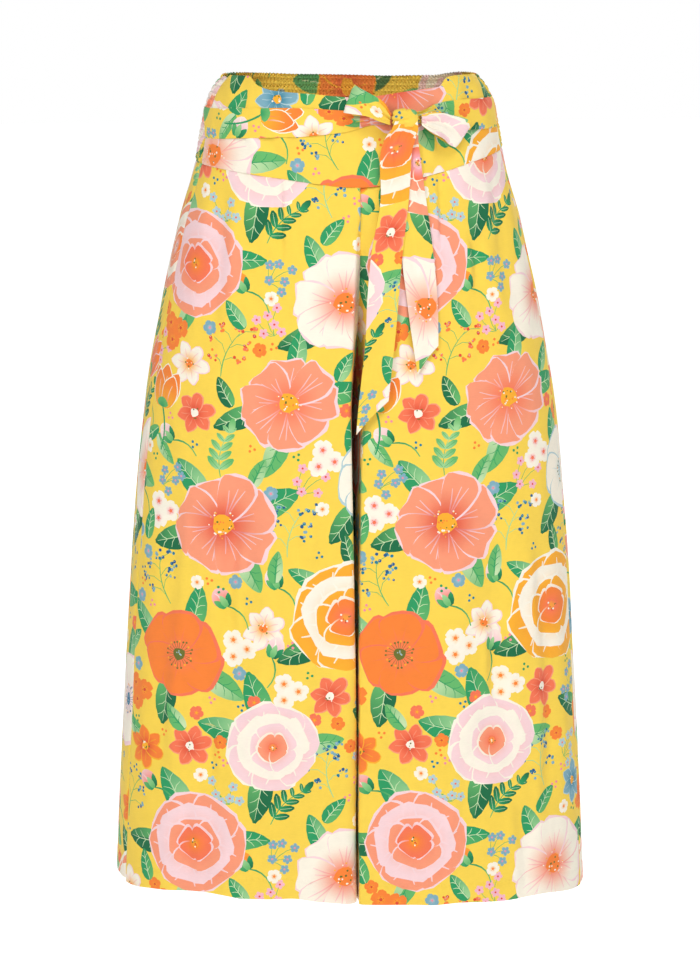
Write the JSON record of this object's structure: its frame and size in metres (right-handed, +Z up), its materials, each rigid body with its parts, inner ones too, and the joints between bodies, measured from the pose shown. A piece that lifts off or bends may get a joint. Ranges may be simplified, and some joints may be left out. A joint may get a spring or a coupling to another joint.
{
  "type": "culottes",
  "caption": "Wide calf-length culottes with a centre-front pleat, a shaped front yoke, a shirred back waistband and a tie sash in a bow.",
  "frame": {"origin": "middle of the waist, level with the waistband's upper edge at the back, where the wearer's waist holds the garment", "axes": "+Z up, -Y to the front of the garment, +X to the wearer's left"},
  "size_m": [0.475, 0.2484, 0.8099],
  "materials": {
    "printed_cotton": "crisp plain-woven cotton with a printed pattern, matt",
    "printed_cotton_tie": "the same printed cotton, doubled for the tie"
  },
  "bodies": {
    "root": {"yoke_front": "printed_cotton", "band_back": "printed_cotton", "leg_front_right": "printed_cotton", "leg_front_left": "printed_cotton", "leg_back_right": "printed_cotton", "leg_back_left": "printed_cotton", "sash_right": "printed_cotton_tie", "sash_left": "printed_cotton_tie", "knot": "printed_cotton_tie", "loop_right": "printed_cotton_tie", "loop_left": "printed_cotton_tie", "tail_long": "printed_cotton_tie", "tail_short": "printed_cotton_tie"}
  },
  "joints": []
}
